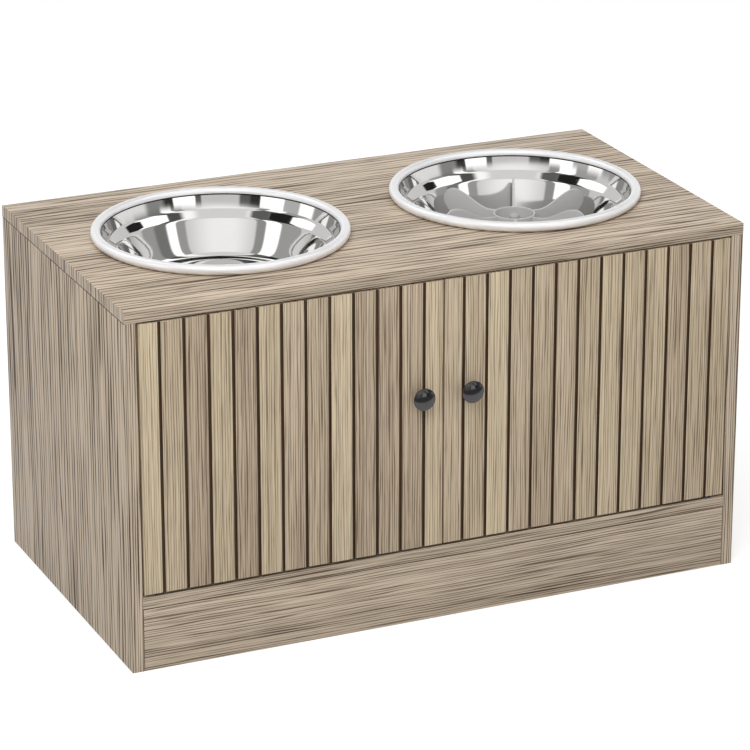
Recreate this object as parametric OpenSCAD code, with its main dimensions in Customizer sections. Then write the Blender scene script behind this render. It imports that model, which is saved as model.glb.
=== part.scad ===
// Elevated dog feeder: a two-door storage cabinet that carries two lift-out bowls in its top.
// Millimetres, +Z up, the doors face -Y, the origin is at the middle of the base.

/* [Cabinet] */
// Overall width over the side panels
cabinet_w = 650; // [560:1:900]
// Depth of the cabinet, front of the doors to the rear edges
cabinet_d = 350; // [310:1:460]
// Height of the top panel's upper face
cabinet_h = 365; // [260:1:520]
// Thickness of the top, side, bottom and plinth boards
board_t = 12; // [12:0.5:18]
// Height of the plinth board under the bottom panel
plinth_h = 64; // [40:1:110]

/* [Back panel] */
// Thickness of the back panel
back_t = 3; // [2.5:0.5:6]
// Distance from the cabinet's rear edges to the back panel
back_inset = 6; // [4:0.5:20]
// Depth of the grooves that hold the back panel
back_groove_depth = 4; // [2:0.5:6]
// Free space in the grooves beside the back panel
back_play = 0.2; // [0.1:0.1:0.6]
// Height of the back panel's lower edge above the ground
back_lift = 10; // [2:1:40]

/* [Doors] */
// Thickness of the doors
door_t = 12; // [12:0.5:18]
// Gap between a door and its side panel
door_side_gap = 2; // [1.4:0.1:3]
// Gap between the doors and the top panel
door_top_gap = 2; // [1.5:0.1:4]
// Gap between the doors and the bottom panel
door_bottom_gap = 2.5; // [1.5:0.1:4]
// Gap between the two doors
door_mid_gap = 2; // [1:0.1:5]
// Grooves milled in each door's face
groove_count = 12; // [6:1:14]
// Width of a groove
groove_w = 3.2; // [2:0.1:5]
// Depth of a groove
groove_depth = 2; // [1:0.1:3.5]
// Distance from a door's upright edge to the middle of its outermost groove
groove_edge = 20; // [14:0.5:28]

/* [Door pivots] */
// Distance from a door's outer edge to its pivot axis
pivot_inset = 16; // [14:0.5:24]
// Diameter of a pivot pin
pin_d = 5; // [4:0.1:5.5]
// Length of a pivot pin inside the door
pin_in_door = 14; // [10:0.5:24]
// Length of a pivot pin inside its bush
pin_in_bush = 6.5; // [4:0.5:7.5]
// Radial running clearance between a pin and its bush
pin_play = 0.05; // [0.02:0.01:0.1]
// Wall of a pivot bush
bush_wall = 1.6; // [1:0.1:2.5]
// Length of a pivot bush inside its board
bush_len = 8; // [8:0.5:9]
// Thickness of a pivot bush's flange
bush_flange_t = 1.2; // [0.6:0.1:1.2]
// How far a pivot bush's flange stands out past its sleeve
bush_flange_reach = 1.4; // [1:0.1:2]

/* [Knobs] */
// Diameter of a knob's disc
knob_d = 22.5; // [16:0.5:34]
// Distance from a door's face to the front of its knob
knob_reach = 16; // [14:0.5:32]
// Thickness of a knob's disc at its rim
knob_rim_t = 1.6; // [1:0.1:3]
// Height of a knob's dome in front of its rim
knob_dome = 3.4; // [1.5:0.1:4.5]
// Diameter of a knob's stem
knob_stem_d = 8; // [7:0.5:9]
// Diameter of a knob's foot on the door
knob_foot_d = 9; // [9:0.5:15]
// Distance from the cabinet's middle to a knob's axis
knob_x = 25.8; // [22:0.1:60]
// Height of the knobs above the ground
knob_z = 237; // [150:1:240]
// Diameter of a knob screw
knob_screw_d = 4; // [3:0.5:5]
// Length of a knob screw inside the knob
knob_screw_grip = 7; // [5:0.5:9]
// Diameter of a knob screw's head
knob_screw_head_d = 8; // [7:0.5:10]
// Thickness of a knob screw's head
knob_screw_head_t = 2.4; // [1.5:0.1:3]

/* [Magnetic catches] */
// Distance from the cabinet's middle to a catch's middle
catch_x = 42; // [34:1:100]
// Width of a catch over its ears
catch_w = 44; // [40:1:60]
// Width of a catch's block
catch_block_w = 26; // [22:1:30]
// Depth of a catch, front to back
catch_d = 15; // [12:0.5:20]
// Height of a catch's block under the top panel
catch_h = 13; // [11:0.5:18]
// Thickness of a catch's ears
catch_ear_t = 2.5; // [2:0.1:4]
// Width of a catch magnet
magnet_w = 20; // [14:0.5:20]
// Depth of a catch magnet, front to back
magnet_d = 7; // [4:0.5:10]
// Height of a catch magnet
magnet_h = 6; // [4:0.5:7]
// How far a magnet stands out of its housing
magnet_proud = 0.5; // [0.2:0.1:1]
// Gap between a magnet and a closed door's strike plate
magnet_gap = 0.3; // [0.2:0.1:1]
// Width of a strike plate
strike_w = 42; // [38:1:50]
// Height of a strike plate
strike_h = 11; // [9:0.5:14]
// Thickness of a strike plate
strike_t = 1; // [0.6:0.1:2]
// Free space between a strike plate's screw head and the catch's block
strike_screw_room = 1.2; // [0.8:0.1:2]
// Diameter of the small screws of the catches and strike plates
small_screw_d = 3; // [2.5:0.1:3.5]
// Length of a small screw inside the wood
small_screw_grip = 7.5; // [5:0.5:8.5]
// Diameter of a small screw's head
small_screw_head_d = 5.6; // [5:0.1:6]
// Thickness of a small screw's head
small_screw_head_t = 1.6; // [1:0.1:2]

/* [Bowls] */
// Distance from the cabinet's middle to a bowl's middle
bowl_x = 159.5; // [135:0.5:175]
// Outer radius of a bowl's rolled rim
rim_r = 127; // [110:0.5:132]
// Radius of the roll of a bowl's rim
rim_roll_r = 5; // [4:0.1:6]
// Gap under a seated rim
rim_seat_gap = 0.3; // [0.2:0.1:0.5]
// Thickness of a bowl's sheet
bowl_sheet = 1; // [0.8:0.1:1.6]
// Distance from the rim's outside in to the bowl's mouth wall
mouth_inset = 9.6; // [9:0.1:12]
// Inner radius of a bowl at the crease under its upper band
crease_r = 112.6; // [98:0.1:113]
// Depth of the crease below the middle of the rim's roll
crease_depth = 15; // [10:0.5:18]
// Inner radius of a bowl at the foot of its shoulder
shoulder_r = 105.4; // [90:0.1:106]
// Depth of the shoulder's foot below the middle of the rim's roll
shoulder_depth = 22.6; // [20:0.1:26]
// Radius of a bowl's flat floor
floor_r = 85.5; // [68:0.5:90]
// Depth of the floor below the middle of the rim's roll
bowl_depth = 58.3; // [50:0.1:80]
// Free space between a bowl and its cut-out
cutout_play = 1.4; // [1:0.1:3]

/* [Slow-feeder insert] */
// Outer diameter of the insert's hub
hub_d = 42.5; // [36:0.5:50]
// Height of the hub
hub_h = 33; // [24:0.1:38]
// Wall of the hub
hub_wall = 1.8; // [1.2:0.1:3]
// Height of the hub's inner floor above the bowl's floor
hub_floor_z = 8; // [7:0.5:12]
// Fins round the hub
fin_count = 6; // [4:1:8]
// Thickness of a fin
fin_t = 2; // [1.4:0.1:3]
// Distance from the hub's axis to a fin's outer end
fin_reach = 82; // [70:0.5:84]
// Height of a fin's lobe above the hub's rim
fin_rise = 14.5; // [6:0.5:18]
// How far below the hub's rim a fin meets the hub
fin_root_drop = 0.8; // [0.4:0.1:3]
// Radius of the fin's round end
fin_end_r = 12; // [8:0.5:14]
// Direction of the first fin
fin_turn = 5; // [0:1:59]
// Gap between the insert and the bowl's floor
insert_seat_gap = 0.3; // [0.2:0.1:0.5]
// Radius of the suction cup's lip
suction_r = 17; // [12:0.5:18]
// Radius of the suction cup's neck
suction_neck_r = 3; // [2:0.1:4]
// Radius of the suction cup's round-topped post
suction_head_r = 5.4; // [4.5:0.1:7]
// Height of that post above the hub's inner floor
suction_head_h = 22.5; // [8:0.5:24]

/* [Board fixings] */
// Distance from the front and rear edges to the top and bottom panels' cam bolts
bolt_edge = 60; // [45:1:90]
// Distance between a cam bolt and the dowel beside it
dowel_offset = 32; // [24:1:50]
// Height of the plinth board's cam bolts above the ground
plinth_bolt_z = 40; // [30:1:44]
// Height of the plinth board's dowels above the ground
plinth_dowel_z = 18; // [10:1:24]
// Diameter of a cam disc
cam_d = 12; // [10:0.5:15]
// Thickness of a cam disc
cam_t = 9.5; // [9:0.5:10.5]
// Distance from a board's end to the middle of its cam disc
cam_set = 24; // [18:1:34]
// Diameter of a cam bolt's thread
bolt_thread_d = 5; // [4:0.5:6]
// Length of a cam bolt's thread in the board it is screwed into
bolt_thread_len = 9; // [6:0.5:9.5]
// Diameter of a cam bolt's bare shank
bolt_shank_d = 3.4; // [3:0.1:4]
// Diameter of a cam bolt's head and collar
bolt_head_d = 5.8; // [5:0.1:6]
// Diameter of a dowel
dowel_d = 6; // [5:0.5:8]
// Length of a dowel in the board whose face it enters
dowel_in_face = 9; // [6:0.5:9.5]
// Length of a dowel in the board whose end it enters
dowel_in_end = 16; // [10:1:24]
// Radial free space round bolts, dowels, discs and screws
fixing_play = 0.1; // [0.05:0.05:0.3]

/* [Hidden] */

$fn = 96;
bleed = 1;

oak = [0.66, 0.58, 0.49];
oak_dark = [0.58, 0.51, 0.43];
hardboard = [0.55, 0.47, 0.38];
beech = [0.78, 0.65, 0.47];
zinc = [0.72, 0.73, 0.74];
steel = [0.8, 0.81, 0.82];
gunmetal = [0.23, 0.24, 0.24];
nylon = [0.85, 0.85, 0.82];
brown_plastic = [0.35, 0.27, 0.2];
ferrite = [0.2, 0.2, 0.21];
grey_plastic = [0.6, 0.6, 0.6];
silicone = [0.75, 0.76, 0.77];

// The knobs stand out at the front, so the cabinet lies half their reach back.
front_y = -(cabinet_d - knob_reach) / 2;
rear_y = front_y + cabinet_d;
mid_y = (front_y + rear_y) / 2;
inner_x = cabinet_w / 2 - board_t;
top_under_z = cabinet_h - board_t;
bottom_top_z = plinth_h + board_t;

// The back panel's faces, and the grooves that hold it
back_rear_y = rear_y - back_inset;
back_front_y = back_rear_y - back_t;
back_half_w = inner_x + back_groove_depth - back_play;
back_top_z = top_under_z + back_groove_depth - back_play;

// Door places, for the right-hand door
door_x0 = door_mid_gap / 2;
door_x1 = inner_x - door_side_gap;
door_z0 = bottom_top_z + door_bottom_gap;
door_z1 = top_under_z - door_top_gap;
door_rear_y = front_y + door_t;
groove_pitch = (door_x1 - door_x0 - 2 * groove_edge) / (groove_count - 1);
pivot_x = door_x1 - pivot_inset;
pivot_y = front_y + door_t / 2;
pin_r = pin_d / 2;
bush_bore_r = pin_r + pin_play;
bush_r = bush_bore_r + bush_wall;

// Catch places
strike_z0 = top_under_z - catch_h + (catch_h - catch_ear_t - strike_h) / 2;
strike_screw_x = catch_block_w / 2 + small_screw_head_d / 2 + strike_screw_room;
catch_front_y = door_rear_y + strike_t + magnet_gap + magnet_proud;
catch_ear_x = (catch_w + catch_block_w) / 4;
magnet_mid_z = top_under_z - (catch_h + catch_ear_t) / 2;

// Bowl places, with depths counted down from the middle of the rim's roll
roll_r0 = rim_r - rim_roll_r;
roll_z = cabinet_h + rim_seat_gap + rim_roll_r;
mouth_r = rim_r - mouth_inset;
cutout_r = mouth_r + bowl_sheet + cutout_play;
bowl_floor_z = roll_z - bowl_depth;

// The wall between shoulder and floor: nearly straight, with a tight curve into the level floor
wall_steps = 14;
wall_start = [shoulder_r, -shoulder_depth];
wall_end = [floor_r, -bowl_depth];
wall_lean = 0.66;
wall_drop = 0.92;
floor_blend = 0.28;
wall_inset = shoulder_r - floor_r;
wall_pull_down = [
    shoulder_r - wall_lean * wall_inset,
    -shoulder_depth - wall_drop * (bowl_depth - shoulder_depth)
];
wall_pull_in = [floor_r + floor_blend * wall_inset, -bowl_depth];

function bezier(a, b, c, d, t) =
    pow(1 - t, 3) * a + 3 * pow(1 - t, 2) * t * b + 3 * (1 - t) * t * t * c + pow(t, 3) * d;
function unit(v) = v / norm(v);
function left_of(v) = [-v[1], v[0]];

// A line through points, moved sideways by a distance
function shifted(path, distance) = [
    for (i = [0 : len(path) - 1])
        let (last = len(path) - 1)
        let (before = unit(path[max(i, 1)] - path[max(i, 1) - 1]))
        let (after = unit(path[min(i, last - 1) + 1] - path[min(i, last - 1)]))
        let (side = unit(left_of(before) + left_of(after)))
        path[i] + side * distance / (side * left_of(before))
];
function reversed(list) = [for (i = [len(list) - 1 : -1 : 0]) list[i]];

// The bowl's inner face, from inside the roll down to the edge of the floor
roll_overlap = [0.3, 1];
bowl_face = concat(
    [[mouth_r, 0] + roll_overlap, [mouth_r, 0], [crease_r, -crease_depth]],
    [for (i = [0 : wall_steps]) bezier(wall_start, wall_pull_down, wall_pull_in, wall_end, i / wall_steps)],
    [[floor_r / 2, -bowl_depth]]
);
bowl_back = shifted(bowl_face, bowl_sheet);

// The hub's inner floor
hub_floor_t = 2;

// The fin's outline, as [distance from the hub's axis, height above the insert's foot]
fin_shoulder_run = 8;
fin_foot_inset = 20.5;
fin_tuck = [6, 9];
fin_toe = [5, 6];
fin_end_arc = 115;
fin_root_r = hub_d / 2 - hub_wall / 2;
fin_shoulder_r = hub_d / 2 + fin_shoulder_run;
fin_crest_r = fin_reach - fin_end_r;
fin_top = hub_h + fin_rise;
fin_root_z = hub_h - fin_root_drop;
fin_foot_r = floor_r - fin_foot_inset;
fin_steps = 14;
function ease(t) = t * t * (3 - 2 * t);
fin_crest = [
    for (i = [0 : fin_steps])
        let (t = i / fin_steps)
        [
            fin_shoulder_r + t * (fin_crest_r - fin_shoulder_r),
            fin_root_z + (fin_top - fin_root_z) * ease(t)
        ]
];
fin_end = [
    for (i = [1 : fin_steps])
        let (a = 90 - i * fin_end_arc / fin_steps)
        [fin_crest_r + fin_end_r * cos(a), fin_top - fin_end_r + fin_end_r * sin(a)]
];
fin_outline = concat(
    [[fin_root_r, 0], [fin_root_r, fin_root_z]],
    fin_crest,
    fin_end,
    [[fin_reach, hub_h] - fin_tuck, [fin_foot_r, 0] + fin_toe, [fin_foot_r, 0]]
);

// Joints between boards, each with the bolt along Z: thread above the joint, cam disc below it
top_joint_z = top_under_z;
bottom_joint_z = plinth_h + board_t / 2;
plinth_joint_y = front_y + board_t / 2;
front_bolt_y = front_y + bolt_edge;
rear_bolt_y = rear_y - bolt_edge;
bolt_rows = [front_bolt_y, rear_bolt_y];
dowel_rows = [front_bolt_y + dowel_offset, rear_bolt_y - dowel_offset];

module both_sides() {
    children();
    mirror([1, 0, 0])
        children();
}

// The left side panel's top end
module at_top_joint(rows) {
    for (y = rows)
        translate([-(cabinet_w - board_t) / 2, y, top_joint_z])
            children();
}

// The left side panel's inner face, at the bottom panel's end
module at_bottom_joint(rows) {
    for (y = rows)
        translate([-inner_x, y, bottom_joint_z])
            rotate([0, -90, 0])
                rotate([0, 0, 180])
                    children();
}

// The left side panel's inner face, at the plinth board's end
module at_plinth_joint(z) {
    translate([-inner_x, plinth_joint_y, z])
        rotate([0, -90, 0])
            rotate([0, 0, 90])
                children();
}

module cam_bolt() {
    head_t = 2;
    collar_t = 1;
    cylinder(d = bolt_thread_d, h = bolt_thread_len);
    translate([0, 0, -collar_t])
        cylinder(d = bolt_head_d, h = collar_t);
    translate([0, 0, -cam_set])
        cylinder(d = bolt_shank_d, h = cam_set);
    translate([0, 0, -cam_set - head_t / 2])
        cylinder(d = bolt_head_d, h = head_t);
}

module cam_bolt_face_hole() {
    translate([0, 0, -bleed])
        cylinder(r = bolt_thread_d / 2 + fixing_play, h = bolt_thread_len + bleed);
}

module cam_bolt_end_hole() {
    translate([0, 0, -cam_set])
        cylinder(r = bolt_head_d / 2 + fixing_play, h = cam_set + bleed);
}

// A round disc whose side slot takes the bolt's head, with a cross for the screwdriver
module cam_disc() {
    cross_l = 7;
    cross_w = 1.4;
    cross_deep = 1.6;
    translate([board_t / 2 - cam_t, 0, -cam_set])
        difference() {
            rotate([0, 90, 0])
                cylinder(d = cam_d, h = cam_t);
            translate([cam_t - board_t / 2, 0, -bolt_head_d / 2])
                cylinder(r = bolt_head_d / 2 + fixing_play, h = cam_d);
            for (turn = [45, 135])
                translate([cam_t, 0, 0])
                    rotate([turn, 0, 0])
                        cube([2 * cross_deep, cross_l, cross_w], center = true);
        }
}

module cam_pocket() {
    translate([board_t / 2 - cam_t, 0, -cam_set])
        rotate([0, 90, 0])
            cylinder(r = cam_d / 2 + fixing_play, h = cam_t + bleed);
}

module dowel() {
    translate([0, 0, -dowel_in_end])
        cylinder(d = dowel_d, h = dowel_in_end + dowel_in_face);
}

module dowel_face_hole() {
    translate([0, 0, -bleed])
        cylinder(r = dowel_d / 2 + fixing_play, h = dowel_in_face + bleed);
}

module dowel_end_hole() {
    spare = 1;
    translate([0, 0, -dowel_in_end - spare])
        cylinder(r = dowel_d / 2 + fixing_play, h = dowel_in_end + spare + bleed);
}

// The groove that the back panel's edges run in, in all four boards round it
module back_groove() {
    translate([-inner_x - back_groove_depth, back_front_y - back_play, back_lift - back_play])
        cube([
            2 * (inner_x + back_groove_depth),
            back_t + 2 * back_play,
            top_under_z + back_groove_depth - back_lift + back_play
        ]);
}

module small_screw() {
    cylinder(d = small_screw_d, h = small_screw_grip);
    translate([0, 0, -small_screw_head_t])
        cylinder(d = small_screw_head_d, h = small_screw_head_t);
}

module small_screw_hole(length) {
    cylinder(r = small_screw_d / 2 + fixing_play, h = length);
}

module top_panel() {
    color(oak)
        difference() {
            translate([-cabinet_w / 2, front_y, top_under_z])
                cube([cabinet_w, cabinet_d, board_t]);
            both_sides() {
                translate([bowl_x, mid_y, top_under_z - bleed])
                    cylinder(r = cutout_r, h = board_t + 2 * bleed);
                at_top_joint(bolt_rows)
                    cam_bolt_face_hole();
                at_top_joint(dowel_rows)
                    dowel_face_hole();
                translate([pivot_x, pivot_y, top_under_z - bleed])
                    cylinder(r = bush_r, h = bush_len + bleed);
                for (x = [catch_x - catch_ear_x, catch_x + catch_ear_x])
                    translate([x, catch_front_y + catch_d / 2, top_under_z - bleed])
                        small_screw_hole(small_screw_grip - catch_ear_t + bleed);
            }
            back_groove();
        }
}

module side_panel() {
    color(oak)
        difference() {
            translate([-cabinet_w / 2, front_y, 0])
                cube([board_t, cabinet_d, top_under_z]);
            at_top_joint(bolt_rows) {
                cam_bolt_end_hole();
                cam_pocket();
            }
            at_top_joint(dowel_rows)
                dowel_end_hole();
            at_bottom_joint(bolt_rows)
                cam_bolt_face_hole();
            at_bottom_joint(dowel_rows)
                dowel_face_hole();
            at_plinth_joint(plinth_bolt_z)
                cam_bolt_face_hole();
            at_plinth_joint(plinth_dowel_z)
                dowel_face_hole();
            back_groove();
        }
}

module left_side_panel() {
    side_panel();
}

module right_side_panel() {
    mirror([1, 0, 0])
        side_panel();
}

module bottom_panel() {
    color(oak)
        difference() {
            translate([-inner_x, front_y, plinth_h])
                cube([2 * inner_x, back_front_y - front_y, board_t]);
            both_sides() {
                at_bottom_joint(bolt_rows) {
                    cam_bolt_end_hole();
                    cam_pocket();
                }
                at_bottom_joint(dowel_rows)
                    dowel_end_hole();
                translate([pivot_x, pivot_y, bottom_top_z - bush_len])
                    cylinder(r = bush_r, h = bush_len + bleed);
            }
        }
}

module plinth_board() {
    color(oak)
        difference() {
            translate([-inner_x, front_y, 0])
                cube([2 * inner_x, board_t, plinth_h]);
            both_sides() {
                at_plinth_joint(plinth_bolt_z) {
                    cam_bolt_end_hole();
                    cam_pocket();
                }
                at_plinth_joint(plinth_dowel_z)
                    dowel_end_hole();
            }
        }
}

module back_panel() {
    color(hardboard)
        translate([-back_half_w, back_front_y, back_lift])
            cube([2 * back_half_w, back_t, back_top_z - back_lift]);
}

module top_cam_bolts() {
    color(zinc)
        both_sides()
            at_top_joint(bolt_rows)
                cam_bolt();
}

module top_cam_discs() {
    color(zinc)
        both_sides()
            at_top_joint(bolt_rows)
                cam_disc();
}

module top_dowels() {
    color(beech)
        both_sides()
            at_top_joint(dowel_rows)
                dowel();
}

module bottom_cam_bolts() {
    color(zinc)
        both_sides()
            at_bottom_joint(bolt_rows)
                cam_bolt();
}

module bottom_cam_discs() {
    color(zinc)
        both_sides()
            at_bottom_joint(bolt_rows)
                cam_disc();
}

module bottom_dowels() {
    color(beech)
        both_sides()
            at_bottom_joint(dowel_rows)
                dowel();
}

module plinth_cam_bolts() {
    color(zinc)
        both_sides()
            at_plinth_joint(plinth_bolt_z)
                cam_bolt();
}

module plinth_cam_discs() {
    color(zinc)
        both_sides()
            at_plinth_joint(plinth_bolt_z)
                cam_disc();
}

module plinth_dowels() {
    color(beech)
        both_sides()
            at_plinth_joint(plinth_dowel_z)
                dowel();
}

// A sleeve with a flange; the sleeve runs up from the flange
module pivot_bush() {
    difference() {
        union() {
            cylinder(r = bush_r, h = bush_len);
            translate([0, 0, -bush_flange_t])
                cylinder(r = bush_r + bush_flange_reach, h = bush_flange_t);
        }
        translate([0, 0, -bush_flange_t - bleed])
            cylinder(r = bush_bore_r, h = bush_len + bush_flange_t + 2 * bleed);
    }
}

module pivot_bushes() {
    color(nylon)
        both_sides() {
            translate([pivot_x, pivot_y, top_under_z])
                pivot_bush();
            translate([pivot_x, pivot_y, bottom_top_z])
                mirror([0, 0, 1])
                    pivot_bush();
        }
}

// The right-hand catch: a block with two ears, and a slot in front for its magnet
module catch_housing() {
    color(brown_plastic)
        difference() {
            union() {
                translate([catch_x - catch_w / 2, catch_front_y, top_under_z - catch_ear_t])
                    cube([catch_w, catch_d, catch_ear_t]);
                translate([catch_x - catch_block_w / 2, catch_front_y, top_under_z - catch_h])
                    cube([catch_block_w, catch_d, catch_h]);
            }
            translate([catch_x - magnet_w / 2, catch_front_y - bleed, magnet_mid_z - magnet_h / 2])
                cube([magnet_w, magnet_d - magnet_proud + bleed, magnet_h]);
            for (x = [catch_x - catch_ear_x, catch_x + catch_ear_x])
                translate([x, catch_front_y + catch_d / 2, top_under_z - catch_ear_t - bleed])
                    small_screw_hole(catch_ear_t + 2 * bleed);
        }
}

module left_catch_housing() {
    mirror([1, 0, 0])
        catch_housing();
}

module right_catch_housing() {
    catch_housing();
}

module catch_magnet() {
    color(ferrite)
        translate([catch_x - magnet_w / 2, catch_front_y - magnet_proud, magnet_mid_z - magnet_h / 2])
            cube([magnet_w, magnet_d, magnet_h]);
}

module left_catch_magnet() {
    mirror([1, 0, 0])
        catch_magnet();
}

module right_catch_magnet() {
    catch_magnet();
}

module catch_screws() {
    color(steel)
        both_sides()
            for (x = [catch_x - catch_ear_x, catch_x + catch_ear_x])
                translate([x, catch_front_y + catch_d / 2, top_under_z - catch_ear_t])
                    small_screw();
}

// The right-hand door: its pivot is near its right edge
module door() {
    color(oak_dark)
        difference() {
            translate([door_x0, front_y, door_z0])
                cube([door_x1 - door_x0, door_t, door_z1 - door_z0]);
            for (i = [0 : groove_count - 1])
                translate([
                    door_x0 + groove_edge + i * groove_pitch - groove_w / 2,
                    front_y - bleed,
                    door_z0 - bleed
                ])
                    cube([groove_w, groove_depth + bleed, door_z1 - door_z0 + 2 * bleed]);
            translate([pivot_x, pivot_y, door_z1 - pin_in_door])
                cylinder(r = pin_r + fixing_play, h = pin_in_door + bleed);
            translate([pivot_x, pivot_y, door_z0 - bleed])
                cylinder(r = pin_r + fixing_play, h = pin_in_door + bleed);
            translate([knob_x, front_y - bleed, knob_z])
                rotate([-90, 0, 0])
                    cylinder(r = knob_screw_d / 2 + fixing_play, h = door_t + 2 * bleed);
            at_strike_screws(bleed)
                small_screw_hole(small_screw_grip + bleed - strike_t);
        }
}

module left_door() {
    mirror([1, 0, 0])
        door();
}

module right_door() {
    door();
}

module door_pins() {
    pin_len = pin_in_door + door_top_gap + pin_in_bush;
    low_pin_len = pin_in_door + door_bottom_gap + pin_in_bush;
    color(steel) {
        translate([pivot_x, pivot_y, door_z1 - pin_in_door])
            cylinder(r = pin_r, h = pin_len);
        translate([pivot_x, pivot_y, door_z0 + pin_in_door - low_pin_len])
            cylinder(r = pin_r, h = low_pin_len);
    }
}

module left_door_pins() {
    mirror([1, 0, 0])
        door_pins();
}

module right_door_pins() {
    door_pins();
}

// A turned knob: foot, waisted stem and a shallow dome with a thin rim
module knob() {
    disc_back = knob_reach - knob_dome - knob_rim_t;
    foot_t = 1;
    foot_slope = 0.8;
    flare_h = 2.5;
    flare_r = knob_stem_d / 2 + 2.5;
    disc_dish = 0.6;
    dome_steps = 10;
    dome_arc = [
        for (i = [1 : dome_steps])
            let (t = i / dome_steps)
            [knob_d / 2 * (1 - t * t), knob_reach - knob_dome + knob_dome * (2 * t - t * t)]
    ];
    profile = concat(
        [
            [0, 0],
            [knob_foot_d / 2, 0],
            [knob_foot_d / 2, foot_t],
            [knob_stem_d / 2, foot_t + foot_slope],
            [knob_stem_d / 2, disc_back - flare_h],
            [flare_r, disc_back - disc_dish],
            [knob_d / 2, disc_back],
            [knob_d / 2, disc_back + knob_rim_t]
        ],
        dome_arc
    );
    color(gunmetal)
        translate([knob_x, front_y, knob_z])
            rotate([90, 0, 0])
                difference() {
                    rotate_extrude()
                        polygon(profile);
                    translate([0, 0, -bleed])
                        cylinder(r = knob_screw_d / 2 + fixing_play, h = knob_screw_grip + bleed);
                }
}

module left_knob() {
    mirror([1, 0, 0])
        knob();
}

module right_knob() {
    knob();
}

module knob_screw() {
    slot_l = 0.6 * knob_screw_head_d;
    slot_w = 1;
    slot_deep = 1;
    color(steel)
        translate([knob_x, door_rear_y, knob_z])
            rotate([90, 0, 0])
                difference() {
                    union() {
                        cylinder(d = knob_screw_d, h = door_t + knob_screw_grip);
                        translate([0, 0, -knob_screw_head_t])
                            cylinder(d = knob_screw_head_d, h = knob_screw_head_t);
                    }
                    for (turn = [0, 90])
                        translate([0, 0, -knob_screw_head_t])
                            rotate([0, 0, turn])
                                cube([slot_l, slot_w, 2 * slot_deep], center = true);
                }
}

module left_knob_screw() {
    mirror([1, 0, 0])
        knob_screw();
}

module right_knob_screw() {
    knob_screw();
}

// The two screw places of the right-hand strike plate, a given distance behind the door's inside
module at_strike_screws(behind) {
    for (x = [catch_x - strike_screw_x, catch_x + strike_screw_x])
        translate([x, door_rear_y + behind, strike_z0 + strike_h / 2])
            rotate([90, 0, 0])
                children();
}

// A thin plate on the door's inside, its screws clear of the catch's block
module strike_plate() {
    color(zinc)
        difference() {
            translate([catch_x - strike_w / 2, door_rear_y, strike_z0])
                cube([strike_w, strike_t, strike_h]);
            at_strike_screws(strike_t + bleed)
                small_screw_hole(strike_t + 2 * bleed);
        }
}

module left_strike_plate() {
    mirror([1, 0, 0])
        strike_plate();
}

module right_strike_plate() {
    strike_plate();
}

module strike_screws() {
    color(steel)
        at_strike_screws(strike_t)
            small_screw();
}

module left_strike_screws() {
    mirror([1, 0, 0])
        strike_screws();
}

module right_strike_screws() {
    strike_screws();
}

// A pressed bowl on its own axis, heights from the middle of the rim's roll
module bowl_shape() {
    rotate_extrude()
        translate([roll_r0, 0])
            circle(r = rim_roll_r, $fn = 48);
    rotate_extrude()
        polygon(concat(bowl_face, reversed(bowl_back)));
    translate([0, 0, -bowl_depth - bowl_sheet])
        cylinder(r = floor_r / 2 + bleed, h = bowl_sheet);
}

module left_bowl() {
    color(steel)
        translate([-bowl_x, mid_y, roll_z])
            bowl_shape();
}

module right_bowl() {
    color(steel)
        translate([bowl_x, mid_y, roll_z])
            bowl_shape();
}

// The insert's middle, on the right bowl's floor
module at_insert() {
    translate([bowl_x, mid_y, bowl_floor_z + insert_seat_gap])
        children();
}

module slow_feeder_insert() {
    hub_r = hub_d / 2;
    color(grey_plastic)
        at_insert() {
            difference() {
                union() {
                    cylinder(r = hub_r, h = hub_h);
                    for (i = [0 : fin_count - 1])
                        rotate([0, 0, fin_turn + i * 360 / fin_count])
                            translate([0, fin_t / 2, 0])
                                rotate([90, 0, 0])
                                    linear_extrude(height = fin_t)
                                        polygon(fin_outline);
                }
                translate([0, 0, hub_floor_z + hub_floor_t])
                    cylinder(r = hub_r - hub_wall, h = hub_h);
                translate([0, 0, -bleed])
                    cylinder(r = hub_r - hub_wall, h = hub_floor_z + bleed);
                translate([0, 0, -bleed])
                    cylinder(r = suction_neck_r + fixing_play, h = hub_h);
            }
        }
}

// A soft cup under the hub's floor, its neck through the floor and its round-topped post above it
module insert_suction_cup() {
    lip_t = 1.2;
    cup_roof_z = hub_floor_z - 3;
    cup_throat = [suction_neck_r + 1, cup_roof_z - 0.5];
    collar_r = suction_neck_r + 2;
    collar_foot = [suction_neck_r + 3, hub_floor_z - 1];
    head_z = hub_floor_z + hub_floor_t;
    dome_h = 0.8 * suction_head_r;
    dome_z = head_z + suction_head_h - dome_h;
    head_steps = 8;
    head_arc = [
        for (i = [0 : head_steps])
            let (a = i * 90 / head_steps)
            [suction_head_r * cos(a), dome_z + dome_h * sin(a)]
    ];
    profile = concat(
        [
            [0, cup_roof_z],
            cup_throat,
            [suction_r, 0],
            [suction_r, lip_t],
            collar_foot,
            [collar_r, hub_floor_z],
            [suction_neck_r, hub_floor_z],
            [suction_neck_r, head_z],
            [suction_head_r, head_z]
        ],
        head_arc
    );
    color(silicone)
        at_insert()
            rotate_extrude()
                polygon(profile);
}

top_panel();
left_side_panel();
right_side_panel();
bottom_panel();
plinth_board();
back_panel();
top_cam_bolts();
top_cam_discs();
top_dowels();
bottom_cam_bolts();
bottom_cam_discs();
bottom_dowels();
plinth_cam_bolts();
plinth_cam_discs();
plinth_dowels();
pivot_bushes();
left_catch_housing();
right_catch_housing();
left_catch_magnet();
right_catch_magnet();
catch_screws();
left_door();
left_door_pins();
left_knob();
left_knob_screw();
left_strike_plate();
left_strike_screws();
right_door();
right_door_pins();
right_knob();
right_knob_screw();
right_strike_plate();
right_strike_screws();
left_bowl();
right_bowl();
slow_feeder_insert();
insert_suction_cup();
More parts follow.
